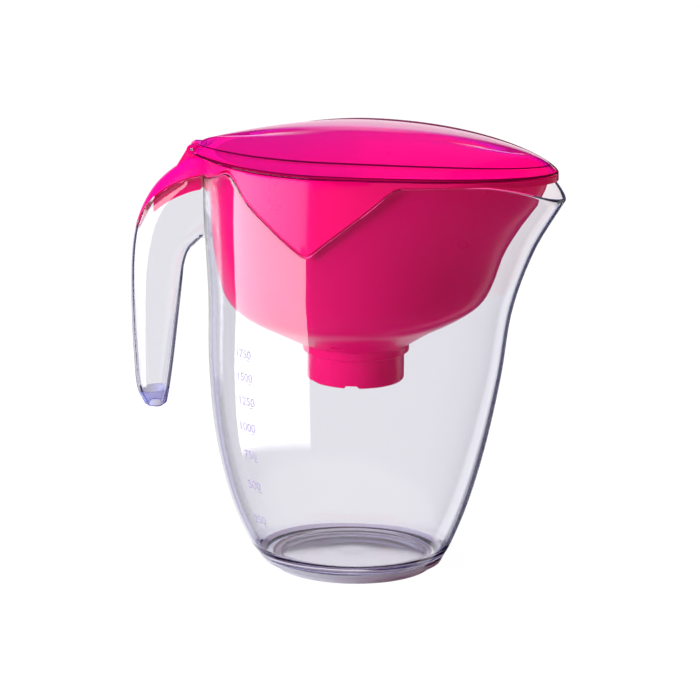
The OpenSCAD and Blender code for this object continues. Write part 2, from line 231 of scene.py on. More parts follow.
jugOutline = [  # height, reach behind, reach in front, half width
    (4, -52, 51, 49.5), (15, -60, 57, 57), (40, -71, 66.5, 65.5), (75, -80, 76, 71.5),
    (115, -84.5, 84, 74), (155, -85.5, 90, 75.5), (190, -88, 102, 76.5),
    (215, -89, jug["spoutReach"] - 9, 76.8), (246, -89, jug["spoutReach"] + 10, 77),
]


def rimAt(x):
    return ease(rimLine, x, 1)


def jugPoint(angle, z, inset):
    return wallPoint(angle, z, jugOutline, inset, jug["roundBelow"])


def rimHeight(angle, inset):
    # the rim's height depends on x, and x on the height, so a few rounds bring them together
    z = 230.0
    for step in range(7):
        z = mix(z, rimAt(jugPoint(angle, z, inset)[0]), 0.8)
    return z


def jugProfile():
    # rings from under the floor, round the foot, up the outside, over the rim and down inside
    wall, foot = jug["wall"], jug["footRadius"]
    rings = [("round", r, z) for r, z in [
        (6, 4), (foot - 4.6, 4), (foot - 3.9, 3.7), (foot - 3.5, 3), (foot - 3.4, 0.7), (foot - 3, 0.15),
        (foot - 2.4, 0), (foot - 1.1, 0), (foot - 0.5, 0.15), (foot - 0.1, 0.7), (foot + 0.3, 3.2),
        (foot + 0.8, 4.1)]]
    shares = [0.0, 0.006, 0.014, 0.026, 0.045, 0.07, 0.1, 0.135, 0.17]
    shares += [0.17 + 0.83 * k / 26 for k in range(1, 26)] + [0.985]
    rings += [("wall", share, 0) for share in shares]
    rings += [("rim", wall / 2 * (1 - math.cos(t)), wall / 2 * math.sin(t))
              for t in [math.pi * k / 8 for k in range(9)]]
    rings += [("wall", share, wall) for share in reversed(shares[5:])]
    rings += [("corner", math.radians(90 - 11.25 * k), 0) for k in range(9)]
    rings += [("floor", 24, jug["floorHeight"]), ("floor", 6, jug["floorHeight"])]
    return rings


def buildJugShell():
    rings = jugProfile()
    wall, floor, corner = jug["wall"], jug["floorHeight"], jug["cornerRadius"]

    def place(angle, level):
        kind, a, b = rings[level]
        turned = evenAngle(angle)
        if kind in ("round", "floor"):
            return a * math.cos(turned), a * math.sin(turned), b
        if kind == "wall":
            return jugPoint(angle, mix(jugOutline[0][0], rimHeight(angle, b) - wall / 2, a), b)
        if kind == "rim":
            return jugPoint(angle, rimHeight(angle, a) - wall / 2 + b, a)
        return jugPoint(angle, floor + corner * (1 - math.cos(a)), wall + corner * (1 - math.sin(a)))

    return ringStack("jugWall", jug["columns"], len(rings), place)


handle = {
    "halfWidth": 13.0,
    "wall": 2.2,
    "columns": 48,
    "stations": [  # outer x, outer z, inner x, inner z, share of the width
        (-97, 234, -90.5, 186, 1), (-110.5, 223.5, -94.5, 182, 1), (-119, 214, -98.5, 177, 1),
        (-125.5, 201.5, -101, 169, 1), (-129.5, 187, -102, 160, 0.98), (-131, 167, -103, 149, 0.96),
        (-130.5, 140, -104.5, 134, 0.93), (-129, 115, -106.5, 115, 0.9), (-127, 97, -108.5, 99, 0.87),
        (-122.5, 88, -110.5, 87.5, 0.75),
    ],
}
handleCourse = [(k,) + station for k, station in enumerate(handle["stations"])]


def handlePoint(angle, along, inset):
    ox, oz, ix, iz, share = [ease(handleCourse, along, column) for column in range(1, 6)]
    out, side = signedPower(math.cos(angle), 0.8), signedPower(math.sin(angle), 0.8)
    dx, dz = (ox - ix) / 2, (oz - iz) / 2
    length = math.hypot(dx, dz)
    shrink = (length - inset) / length
    return ((ox + ix) / 2 + dx * shrink * out, (handle["halfWidth"] * share - inset) * side,
            (oz + iz) / 2 + dz * shrink * out)


def handleRoot(angle, inset):
    out, side = signedPower(math.cos(angle), 0.8), signedPower(math.sin(angle), 0.8)
    y = (handle["halfWidth"] - inset) * side
    z = 212 + (25 - inset) * out
    return ease(jugOutline, z, 1) + 1.3 + 2.4 * (y / handle["halfWidth"]) ** 2, y, z


def buildHandleTube(hollow=True):
    wall, end = handle["wall"], len(handle["stations"]) - 1
    rings = [("root", 0)] + [(end * k / 44, 0) for k in range(45)]
    if hollow:
        rings += [(end, wall * 0.15), (end + 0.08, wall * 0.4), (end + 0.08, wall * 0.6), (end, wall * 0.85)]
        rings += [(end * k / 44, wall) for k in range(44, -1, -1)] + [("root", wall), ("root", 0)]

    def place(angle, level):
        along, inset = rings[level]
        return handleRoot(angle, inset) if along == "root" else handlePoint(angle, along, inset)

    return ringStack("handleTube", handle["columns"], len(rings), place, closed=hollow)


def aboveRim(lift, lowX=-140, highX=-60):
    # everything above the rim line behind the jug, for cutting the handle open along it
    deselectAll()
    steps = 60
    bpy.ops.mesh.primitive_grid_add(x_subdivisions=steps, y_subdivisions=2, size=1)
    piece = bpy.context.object
    piece.name = "aboveRim"
    for point in piece.data.vertices:
        x = mix(lowX, highX, point.co.x + 0.5)
        point.co = Vector((x, point.co.y * 80, rimAt(x) + lift)) * mm
    bpy.ops.object.mode_set(mode="EDIT")
    bpy.ops.mesh.select_all(action="SELECT")
    bpy.ops.mesh.extrude_region_move(TRANSFORM_OT_translate={"value": (0, 0, 0.12)})
    bpy.ops.object.mode_set(mode="OBJECT")
    tidyNormals(piece)
    return piece


jugPiece = buildJugShell()
handlePiece = buildHandleTube()
combine(handlePiece, aboveRim(-0.3), "DIFFERENCE")
combine(jugPiece, handlePiece, "UNION")
smoothShade(jugPiece)
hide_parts("jug_body")
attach(jugPiece, "jug")
print("jug:", len(jugPiece.data.polygons), "faces")


# lid outline, which the funnel's top follows

lid = {
    "rear": -99.0, "front": 115.0, "half": 76.5, "mid": -6.0, "centre": 8.0,
    "tipHeight": 235.8, "sideHeight": 242.8, "rearPower": 1.84, "frontPower": 1.39,
    "wall": 2.0, "crease": 5.0, "ridge": 11.0, "columns": 160,
}


def lidEdge(x):
    return mix(lid["sideHeight"], lid["tipHeight"], ((x - lid["centre"]) / 107) ** 2)


def lidPoint(angle, inset):
    return leafPoint(angle, lid["mid"], lid["rear"] + inset * 1.6, lid["front"] - inset,
                     lid["half"] - inset, lid["rearPower"], lid["frontPower"], 0)


def lidHalfAt(x):
    reach = lid["mid"] - lid["rear"] if x < lid["mid"] else lid["front"] - lid["mid"]
    c = abs(x - lid["mid"]) / reach
    power = lid["rearPower"] if x < lid["mid"] else lid["frontPower"]
    return lid["half"] * math.sqrt(max(1 - c * c, 0)) ** power


hinge = {"x": -95.5, "z": 238.8, "barrel": 2.8, "lugHalf": 3.0, "half": 6.6, "play": 0.4, "bore": 1.05}


def jugHalfAt(x, z):
    reach = ease(jugOutline, z, 1 if x < -13 else 2)
    c = min((x + 13) / (reach + 13), 1)
    pointed = ramp(z, jug["roundBelow"], leafHeight)
    s = math.sqrt(1 - c * c) ** (1 + (0.25 if x < -13 else 0.36) * pointed)
    return ease(jugOutline, z, 3) * (0.87 * s + 0.13 * (1 - c))


funnel = {
    "wall": 2.0, "seat": 134.0, "sleeveFoot": 110.0, "sleeveBore": 25.2, "sleeveWall": 2.2,
    "collarFoot": 126.0, "collarBand": 2.7, "rimGap": 0.7, "lidGap": 0.4, "ledge": 4.0,
    "tongueHalf": 6.0, "tongueDrop": 9.0, "columns": 160,
    "outline": [  # height, reach behind, reach in front, half width
        (132, -31, 31, 31), (141, -50, 45, 48), (149, -66, 60, 62), (157, -74.5, 71, 68.5),
        (168, -78.5, 77.5, 71), (188, -83, 84.5, 72.3), (206, -84.5, 95, 72.8), (222, -84.5, 106, 73),
        (246, -84.5, 113, 73),
    ],
}


def underApron(x):
    # underside of the funnel's aprons over the rim, and of its ledge in front
    overRim = rimAt(x) + funnel["rimGap"] + 1.6 * max(0, 1 - abs(x + 65) / 9)
    return max(overRim, lidEdge(x) - funnel["ledge"] if x > 50 else 0)


def funnelTop(x):
    return lidEdge(x) - funnel["lidGap"]


def funnelPoint(angle, z, inset):
    return wallPoint(angle, z, funnel["outline"], inset, funnel["outline"][0][0])


def settle(angle, inset, surface, z):
    for step in range(8):
        z = mix(z, surface(funnelPoint(angle, z, inset)[0]), 0.8)
    return z


def buildFunnelBody():
    bore, wall, foot = funnel["sleeveBore"], funnel["wall"], funnel["sleeveFoot"]
    outer, collar, seat = bore + funnel["sleeveWall"], funnel["collarFoot"], funnel["seat"]
    band = outer + funnel["collarBand"]
    rings = [("round", r, z) for r, z in [
        (bore - 3, foot + 0.4), (bore - 2.7, foot), (outer - 1.3, foot), (outer - 0.6, foot + 0.25),
        (outer - 0.15, foot + 0.8), (outer, foot + 1.5), (outer, foot + 6), (outer, collar - 0.4),
        (outer + 0.15, collar), (band - 0.5, collar + 0.9), (band - 0.12, collar + 1.1),
        (band, collar + 1.5), (band, 131.2), (band + 0.3, 131.8)]]
    rings += [("wall", z, 0) for z in [132.2, 133, 134.5, 136, 138.5, 141, 143, 145, 147, 149, 151, 153, 155,
                                       157, 159.5, 162, 165, 168, 173, 178]]
    rings += [("toApron", k / 8, 0) for k in range(1, 8)] + [("toApron", 0.97, 0), ("toApron", 1, 0)]
    rings += [("apron", u, 0.6 * (1 - u / 0.02) if u < 0.02 else 0) for u in [0, 0.02]]
    rings += [("apron", k / 6, 0) for k in range(1, 6)] + [("apron", 0.97, 0), ("apron", 1, 0.4)]
    rings += [("toMouth", 1, 0)] + [("toMouth", k / 8, 0) for k in range(7, 0, -1)]
    rings += [("wall", z, wall) for z in [178, 173, 168, 165, 162, 159.5, 157, 155, 153, 151, 149, 147, 145,
                                          143, 141, 139.5, 138, 136.5, 135.2, 134.4, seat]]
    rings += [("round", bore + 1.4, seat), ("round", bore + 0.5, seat - 0.1), ("round", bore, seat - 0.6),
              ("round", bore, foot + 8), ("round", bore, foot + 2), ("round", bore - 2.7, foot + 2),
              ("round", bore - 3, foot + 1.7), ("round", bore - 3, foot + 0.4)]
    last = len(rings) - 1

    def place(angle, level):
        kind, a, b = rings[level]
        turned = evenAngle(angle)
        if kind == "round":
            x, y = a * math.cos(turned), a * math.sin(turned)
            notch = 1.7 * ramp(4.2 - abs(x - 3), 0, 1) if b < foot + 1.75 and a > bore - 3.5 else 0
            return x, y, max(b, foot + notch) if notch else b
        if kind == "wall":
            return funnelPoint(angle, a, b)
        if kind == "toApron":
            return funnelPoint(angle, mix(178, settle(angle, 0, underApron, 225), a), 0)
        if kind == "toMouth":
            return funnelPoint(angle, mix(178, settle(angle, wall, funnelTop, 238), a), wall)
        c = math.cos(turned)
        x = mix(-13, -88.8, -c) if c < 0 else mix(-13, lid["front"] - 0.3, c)
        z = mix(underApron(x), funnelTop(x), a)
        half = min(jugHalfAt(x, z), lidHalfAt(x) + 0.5) - b
        return x, math.copysign(max(half, 0), math.sin(turned)), z

    piece = ringStack("funnelHopper", funnel["columns"], last + 1, place, closed=True)
    return piece


def buildTail():
    # the part of the handle's solid above the rim line, so that it ends flush with the handle
    tail = buildHandleTube(hollow=False)
    tail.name = "tail"
    tail.data.name = "tail"
    combine(tail, aboveRim(funnel["rimGap"]), "INTERSECT")
    combine(tail, block("topTrim", (-150, -30, 235.2), (-60, 30, 260)), "DIFFERENCE")
    return tail


def buildTongue():
    # hangs from the tail into the handle's hollow
    tongue = aboveRim(-funnel["tongueDrop"], -120, -90)
    tongue.name = "tongue"
    keep = aboveRim(funnel["rimGap"] + 1.5, -125, -80)
    combine(tongue, keep, "DIFFERENCE")
    combine(tongue, block("tongueWidth", (-117, -funnel["tongueHalf"], 180), (-90, funnel["tongueHalf"], 250)),
            "INTERSECT")
    return tongue


def buildLug():
    x, z, half = hinge["x"], hinge["z"], hinge["lugHalf"]
    lug = hullOf(sideRod("lug", x, z, hinge["barrel"] - 0.1, -half, half),
                 block("lugFoot", (x - 9, -half, 227.5), (x + 2.6, half, 228.7)))
    combine(lug, sideRod("bore", x, z, hinge["bore"], -10, 10), "DIFFERENCE")
    return lug


funnelPiece = buildFunnelBody()
for part in (buildTail(), buildTongue(), buildLug()):
    combine(funnelPiece, part, "UNION")
smoothShade(funnelPiece)
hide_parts("funnel")
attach(funnelPiece, "filter_funnel")
print("funnel:", len(funnelPiece.data.polygons), "faces")


# lid: a shallow dome with a crease along each side, and two cheeks for the hinge pin

creaseHeight, ridgeHeight = lid["crease"], lid["ridge"]
lidSteps = [  # position on the way in, share of the half width, share of the length, height above the edge
    (0, 1, 1, 0), (1, 0.72, 0.955, creaseHeight), (1.5, 0.6, 0.93, mix(creaseHeight, ridgeHeight, 0.3)),
    (2, 0.46, 0.9, mix(creaseHeight, ridgeHeight, 0.58)),
    (2.5, 0.32, 0.86, mix(creaseHeight, ridgeHeight, 0.79)),
    (3, 0.18, 0.8, mix(creaseHeight, ridgeHeight, 0.93)), (3.5, 0, 0.7, ridgeHeight),
]


def lidSurface(angle, step, inset, drop):
    if step <= 1:
        width, length, rise = [mix(lidSteps[0][k], lidSteps[1][k], step) for k in (1, 2, 3)]
    else:
        width, length, rise = [ease(lidSteps[1:], step, k) for k in (1, 2, 3)]
    x, y = lidPoint(angle, inset)
    centre = lid["centre"]
    return centre + (x - centre) * length, y * width, lidEdge(x) + rise - drop


def buildLid():
    wall = lid["wall"]
    steps = [0.06, 0.25, 0.5, 0.75, 0.94, 1.0, 1.06] + [1.06 + 2.44 * k / 14 for k in range(1, 15)]
    rings = [(step, wall, wall) for step in reversed(steps)]  # inside, from the ridge down to the edge
    rings += [(0.0, wall, wall * 0.5), (0.0, wall * 0.8, 0.1), (0.0, wall * 0.3, 0.0), (0.0, 0.1, -0.2),
              (0.0, 0.0, -0.5), (0.0, 0.0, -0.9)]
    rings += [(step, 0.0, 0.0) for step in steps]

    def place(angle, level):
        return lidSurface(angle, *rings[level])

    return ringStack("lidDome", lid["columns"], len(rings), place, closed=True)


def buildCheek(side):
    x, z = hinge["x"], hinge["z"]
    low, high = hinge["lugHalf"] + hinge["play"], hinge["half"]
    y0, y1 = (low, high) if side > 0 else (-high, -low)
    return hullOf(sideRod("cheek", x, z, hinge["barrel"], y0, y1),
                  block("web", (-89, y0, z - 1.2), (-88, y1, z + 2.8)))


lidPiece = buildLid()
combine(lidPiece, block("tipCut", (-120, -30, 220), (-93.4, 30, 270)), "DIFFERENCE")
lugRoom = hinge["lugHalf"] + hinge["play"]
combine(lidPiece, block("lugCut", (-120, -lugRoom, 220), (-91, lugRoom, 270)), "DIFFERENCE")
for side in (-1, 1):
    combine(lidPiece, buildCheek(side), "UNION")
combine(lidPiece, sideRod("bore", hinge["x"], hinge["z"], hinge["bore"], -10, 10), "DIFFERENCE")
smoothShade(lidPiece, 20)
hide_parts("lid")
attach(lidPiece, "flip_lid")
print("lid:", len(lidPiece.data.polygons), "faces")


# volume marks on the near side

marks = {
    "letterHeight": 5.2,
    "proud": 0.02,
    "places": [  # number, x and z of its middle
        ("1750", -53.6, 134.4), ("1500", -52.7, 120.8), ("1250", -51.3, 106.9), ("1000", -50.7, 91.6),
        ("750", -48.8, 75.2), ("500", -46.8, 57.1), ("250", -44.3, 35.7),
    ],
}


def wallAngleAt(x, z):
    # angle on the near side where the jug's outside passes through x
    low, high = -math.pi, -math.pi / 2
    for step in range(40):
        middle = (low + high) / 2
        if jugPoint(middle, z, 0)[0] < x:
            low = middle
        else:
            high = middle
    return low


def wrapToWall(piece, x, z):
    # lays flat lettering on the jug's outside, centred at x and z
    angle = wallAngleAt(x, z)
    a, b = [Vector(jugPoint(angle + d, z, 0)) for d in (-0.01, 0.01)]
    stretch = (b - a).length / 0.02
    for point in piece.data.vertices:
        along, up, out = point.co.x / mm, point.co.y / mm, point.co.z / mm
        point.co = Vector(jugPoint(angle + along / stretch, z + up, -out - marks["proud"])) * mm


def buildMarks():
    pieces = []
    for number, x, z in marks["places"]:
        deselectAll()
        bpy.ops.object.text_add()
        text = bpy.context.object
        text.data.body = number
        text.data.size = marks["letterHeight"] * 1.35 * mm
        text.data.align_x = "CENTER"
        text.data.align_y = "CENTER"
        text.data.extrude = 0.03 * mm
        text.data.resolution_u = 6
        bpy.ops.object.convert(target="MESH")
        pieces.append(bpy.context.object)
        wrapToWall(pieces[-1], x, z)
        tick = block("tick", (3.0, -3.4, -0.03), (5.6, -2.9, 0.03))
        wrapToWall(tick, x, z)
        pieces.append(tick)
    deselectAll()
    for piece in pieces:
        piece.select_set(True)
    bpy.context.view_layer.objects.active = pieces[0]
    bpy.ops.object.join()
    joined = bpy.context.object
    joined.name = "volumeMarks"
    return joined


marksPiece = buildMarks()
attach(marksPiece, "jug")
print("marks:", len(marksPiece.data.polygons), "faces")


# materials

def newMaterial(name):
    material = bpy.data.materials.new(name)
    material.use_nodes = True
    nodes, links = material.node_tree.nodes, material.node_tree.links
    return material, nodes, links, nodes["Principled BSDF"], nodes["Material Output"]


def objectNoise(nodes, links, scale, detail):
    coordinates = nodes.new("ShaderNodeTexCoord")
    noise = nodes.new("ShaderNodeTexNoise")
    noise.inputs["Scale"].default_value = scale
    noise.inputs["Detail"].default_value = detail
    links.new(coordinates.outputs["Object"], noise.inputs["Vector"])
    return noise.outputs["Fac"]


def spread(nodes, links, source, low, high):
    # a noise lies mostly between 0.3 and 0.7
    node = nodes.new("ShaderNodeMapRange")
    node.inputs["From Min"].default_value = 0.3
    node.inputs["From Max"].default_value = 0.7
    node.inputs["To Min"].default_value = low
    node.inputs["To Max"].default_value = high
    links.new(source, node.inputs["Value"])
    return node.outputs["Result"]


def blendColours(nodes, links, source, first, second):
    ramp = nodes.new("ShaderNodeValToRGB")
    ramp.color_ramp.elements[0].position = 0.3
    ramp.color_ramp.elements[1].position = 0.7
    ramp.color_ramp.elements[0].color = (*first, 1)
    ramp.color_ramp.elements[1].color = (*second, 1)
    links.new(source, ramp.inputs["Fac"])
    return ramp.outputs["Color"]


def addBump(nodes, links, shader, source, strength, distance):
    bump = nodes.new("ShaderNodeBump")
    bump.inputs["Strength"].default_value = strength
    bump.inputs["Distance"].default_value = distance
    links.new(source, bump.inputs["Height"])
    links.new(bump.outputs["Normal"], shader.inputs["Normal"])


def letLampsThrough(nodes, links, source, output, colour):
    # lamps and the light between matt surfaces pass the clear wall as they pass a real one
    path = nodes.new("ShaderNodeLightPath")
    clear = nodes.new("ShaderNodeBsdfTransparent")
    clear.inputs["Color"].default_value = (*colour, 1)
    for ray in ("Is Shadow Ray", "Is Diffuse Ray"):
        choose = nodes.new("ShaderNodeMixShader")
        links.new(path.outputs[ray], choose.inputs["Fac"])
        links.new(source, choose.inputs[1])
        links.new(clear.outputs["BSDF"], choose.inputs[2])
        source = choose.outputs["Shader"]
    links.new(source, output.inputs["Surface"])


def depthTint(nodes, links, output, colour, density):
    absorb = nodes.new("ShaderNodeVolumeAbsorption")
    absorb.inputs["Color"].default_value = (*colour, 1)
    absorb.inputs["Density"].default_value = density
    links.new(absorb.outputs["Volume"], output.inputs["Volume"])


def clearPlastic(name, looks):
    material, nodes, links, shader, output = newMaterial(name)
    shader.inputs["Base Color"].default_value = (*looks["surface"], 1)
    shader.inputs["Roughness"].default_value = looks["roughness"]
    shader.inputs["IOR"].default_value = looks["ior"]
    shader.inputs["Transmission Weight"].default_value = 1.0
    source = shader.outputs["BSDF"]
    if looks.get("bodyShare"):
        # a share of matt colour: the lid's own pink tint, and painted light and shade on the rim, the handle
        # tip, the spout, the foot, the floor and the lid's edge
        body = nodes.new("ShaderNodeBsdfDiffuse")
        body.inputs["Color"].default_value = (*looks["bodyColour"], 1)
        both = nodes.new("ShaderNodeMixShader")
        both.inputs["Fac"].default_value = looks["bodyShare"]
        links.new(source, both.inputs[1])
        links.new(body.outputs["BSDF"], both.inputs[2])
        source = both.outputs["Shader"]
    waves = objectNoise(nodes, links, looks["waveScale"], 1.0)
    addBump(nodes, links, shader, waves, looks["waves"], looks["waveHeight"])
    letLampsThrough(nodes, links, source, output, looks["lampTint"])
    depthTint(nodes, links, output, looks["depthColour"], looks["depthDensity"])
    return material


def solidPlastic(name, looks):
    material, nodes, links, shader, output = newMaterial(name)
    cloud = objectNoise(nodes, links, looks["cloudScale"], 4.0)
    grain = objectNoise(nodes, links, looks["grainScale"], 3.0)
    links.new(blendColours(nodes, links, cloud, looks["colour"], looks["colourToo"]),
              shader.inputs["Base Color"])
    links.new(spread(nodes, links, cloud, looks["roughness"] * 0.96, looks["roughness"] * 1.04),
              shader.inputs["Roughness"])
    shader.inputs["IOR"].default_value = looks.get("ior", 1.5)
    shader.inputs["Metallic"].default_value = looks.get("metal", 0.0)
    addBump(nodes, links, shader, grain, looks["bump"], looks["bumpHeight"])
    return material


clearLooks = {
    "surface": (1.0, 1.0, 1.0), "roughness": 0.0, "ior": 1.56, "waveScale": 22.0, "waves": 0.05,
    "waveHeight": 0.001, "lampTint": (0.97, 0.97, 0.98), "depthColour": (0.42, 0.40, 0.78),
    "depthDensity": 30.0,
}
lidLooks = {**clearLooks, "waves": 0.03, "depthColour": (0.965, 0.0, 0.9), "depthDensity": 900.0}
materials = {
    "jugClear": clearPlastic("jugClear", {
        **clearLooks, "depthColour": (0.48, 0.42, 0.74), "depthDensity": 39.0}),
    # a little rough floor, with a small pale matt share of painted light
    "jugFloorRoughPaintedLight": clearPlastic("jugFloorRoughPaintedLight", {
        **clearLooks, "roughness": 0.15, "bodyColour": (0.84, 0.89, 1.0), "bodyShare": 0.08}),
    # painted light: a large pale matt share that lightens the foot ring
    "jugFootPaintedLight": clearPlastic("jugFootPaintedLight", {
        **clearLooks, "roughness": 0.12, "bodyColour": (0.86, 0.93, 1.0), "bodyShare": 0.6}),
    # painted reflection: a dark pink matt share on the clear rim's top, for the pink apron mirrored there
    "rimPaintedPinkReflection": clearPlastic("rimPaintedPinkReflection", {
        **clearLooks, "roughness": 0.1, "bodyColour": (1.0, 0.1, 0.42), "bodyShare": 0.9}),
    # painted shade: a violet matt share and a darker shadow tint on the handle's lower tip and the spout's rim
    "tipPaintedViolet": clearPlastic("tipPaintedViolet", {
        **clearLooks, "roughness": 0.05, "lampTint": (0.9, 0.9, 0.97),
        "bodyColour": (0.3, 0.33, 0.82), "bodyShare": 0.28}),
    # painted shade: a near-black matt share with a dark shadow tint, for the lid's edge band and crease
    "lidPaintedShade": clearPlastic("lidPaintedShade", {
        **lidLooks, "roughness": 0.02, "lampTint": (0.9, 0.2, 0.8),
        "bodyColour": (0.09, 0.0, 0.02), "bodyShare": 0.75}),
    "lidTinted": clearPlastic("lidTinted", {
        **lidLooks, "lampTint": (0.98, 0.3, 0.96), "bodyColour": (1.0, 0.0, 0.62), "bodyShare": 0.1}),
    "funnelPink": solidPlastic("funnelPink", {
        "colour": (0.94, 0.0, 0.175), "colourToo": (0.96, 0.0, 0.185), "roughness": 0.28, "ior": 1.36,
        "cloudScale": 18.0, "grainScale": 900.0, "bump": 0.06, "bumpHeight": 0.0002}),
    "inkViolet": solidPlastic("inkViolet", {
        "colour": (0.30, 0.27, 0.5), "colourToo": (0.42, 0.38, 0.62), "roughness": 0.6, "cloudScale": 300.0,
        "grainScale": 2500.0, "bump": 0.1, "bumpHeight": 0.0001}),
    "pinSteel": solidPlastic("pinSteel", {
        "colour": (0.55, 0.55, 0.57), "colourToo": (0.64, 0.64, 0.66), "roughness": 0.3, "cloudScale": 400.0,
        "grainScale": 3000.0, "bump": 0.15, "bumpHeight": 0.0001, "metal": 1.0}),
    "cartridgeWhite": solidPlastic("cartridgeWhite", {
        "colour": (0.80, 0.82, 0.84), "colourToo": (0.86, 0.87, 0.88), "roughness": 0.45, "cloudScale": 60.0,
        "grainScale": 1500.0, "bump": 0.12, "bumpHeight": 0.0002}),
    "carbonBlack": solidPlastic("carbonBlack", {
        "colour": (0.012, 0.012, 0.013), "colourToo": (0.05, 0.05, 0.055), "roughness": 0.7,
        "cloudScale": 900.0, "grainScale": 1100.0, "bump": 0.9, "bumpHeight": 0.0008}),
    "resinAmber": solidPlastic("resinAmber", {
        "colour": (0.5, 0.28, 0.08), "colourToo": (0.8, 0.6, 0.3), "roughness": 0.4, "cloudScale": 1400.0,
        "grainScale": 1600.0, "bump": 0.8, "bumpHeight": 0.0006}),
    "feltWhite": solidPlastic("feltWhite", {
        "colour": (0.78, 0.77, 0.73), "colourToo": (0.9, 0.9, 0.88), "roughness": 0.95, "cloudScale": 700.0,
        "grainScale": 2200.0, "bump": 0.9, "bumpHeight": 0.0005}),
    "screenGrey": solidPlastic("screenGrey", {
        "colour": (0.5, 0.52, 0.55), "colourToo": (0.78, 0.8, 0.82), "roughness": 0.55, "cloudScale": 1600.0,
        "grainScale": 1800.0, "bump": 0.7, "bumpHeight": 0.0004}),
    "sealSoft": solidPlastic("sealSoft", {
        "colour": (0.7, 0.71, 0.73), "colourToo": (0.78, 0.79, 0.8), "roughness": 0.65, "cloudScale": 80.0,
        "grainScale": 1200.0, "bump": 0.2, "bumpHeight": 0.0002}),
}


def dress(piece, material):
    piece.data.materials.clear()
    piece.data.materials.append(material)
    for face in piece.data.polygons:
        face.material_index = 0


# heights and bands that pick the rough floor and the faces with painted light and shade
finishAndPaintedLight = {
    "floorTop": 8.1, "footTop": 7.2, "underside": 3.5, "level": 0.9,  # jug: heights, and how level a face is
    "handleBehind": -95, "handleTip": 8, "spoutFrom": 106, "rimFrom": 190, "rimBand": 0.5,
    "lidFrom": -93, "lidFacing": -0.1, "edgeBand": 1.3, "creaseBand": 0.3,
}
tipTop = handle["stations"][-1][1] + finishAndPaintedLight["handleTip"]
dress(jugPiece, materials["jugClear"])
for name in ("jugFootPaintedLight", "rimPaintedPinkReflection", "tipPaintedViolet", "jugFloorRoughPaintedLight"):
    jugPiece.data.materials.append(materials[name])
for face in jugPiece.data.polygons:
    x, y, z = face.center / mm
    up = face.normal[2]
    onRim = z > rimAt(x) - finishAndPaintedLight["rimBand"]
    if z < finishAndPaintedLight["floorTop"] and up > finishAndPaintedLight["level"]:
        face.material_index = 4  # the floor is a little rough, with a little painted light
    # painted light: the foot ring gets a large pale matt share
    elif z < finishAndPaintedLight["footTop"] and not (z > finishAndPaintedLight["underside"] and up < -finishAndPaintedLight["level"]):
        face.material_index = 1
    # painted shade on the handle's lower tip and the spout's rim
    elif x < finishAndPaintedLight["handleBehind"] and z < tipTop or x > finishAndPaintedLight["spoutFrom"] and onRim:
        face.material_index = 3
    # painted reflection of the pink apron on the rim's top
    elif z > finishAndPaintedLight["rimFrom"] and onRim:
        face.material_index = 2
dress(funnelPiece, materials["funnelPink"])
dress(lidPiece, materials["lidTinted"])
lidPiece.data.materials.append(materials["lidPaintedShade"])
for face in lidPiece.data.polygons:
    # painted shade: the lid's edge band and its crease get a near-black matt share, darker than the rest of the
    # lid
    x, y, z = face.center / mm
    atEdge = z < lidEdge(x) + finishAndPaintedLight["edgeBand"]
    creasePlace = lid["centre"] + (x - lid["centre"]) / lidSteps[1][2]
    atCrease = abs(z - lidEdge(creasePlace) - lid["crease"]) < finishAndPaintedLight["creaseBand"]
    if x > finishAndPaintedLight["lidFrom"] and face.normal[2] > finishAndPaintedLight["lidFacing"] and (atEdge or atCrease):
        face.material_index = 1
dress(marksPiece, materials["inkViolet"])
carriedOver = {
    "hinge_pin": "pinSteel", "cartridge_cup": "cartridgeWhite", "cartridge_cap": "cartridgeWhite",
    "top_screen": "screenGrey", "carbon_bed": "carbonBlack", "felt_disc": "feltWhite",
    "resin_bed": "resinAmber", "bottom_screen": "screenGrey", "seal_ring": "sealSoft",
}
for node, name in carriedOver.items():
    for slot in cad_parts[node].material_slots:
        slot.material = materials[name]
print("materials done")


# camera

view = {"azimuth": 11.2, "elevation": 15.0, "roll": 0.8, "distance": 4.5, "target": (0, 0, 0.118),
        "pixelSize": 0.00057, "targetPixel": (355.7, 363.0)}


def addCamera():
    data = bpy.data.cameras.new("camera")
    camera = bpy.data.objects.new("camera", data)
    bpy.context.scene.collection.objects.link(camera)
    a, e, roll = [math.radians(view[key]) for key in ("azimuth", "elevation", "roll")]
    back = Vector((math.sin(a) * math.cos(e), -math.cos(a) * math.cos(e), math.sin(e)))
    right = Vector((math.cos(a), math.sin(a), 0))
    up = back.cross(right)
    turnedRight = right * math.cos(roll) + up * math.sin(roll)
    turnedUp = up * math.cos(roll) - right * math.sin(roll)
    turn = Matrix((turnedRight, turnedUp, back)).transposed()
    camera.matrix_world = Matrix.Translation(Vector(view["target"]) + back * view["distance"]) @ turn.to_4x4()
    data.sensor_width = 36
    data.lens = 36 * view["distance"] / (700 * view["pixelSize"])
    data.shift_x = -(view["targetPixel"][0] - 350) / 700
    data.shift_y = (view["targetPixel"][1] - 350) / 700
    data.clip_end = 50
    bpy.context.scene.camera = camera


addCamera()


# studio: floor, lamps and the white surroundings

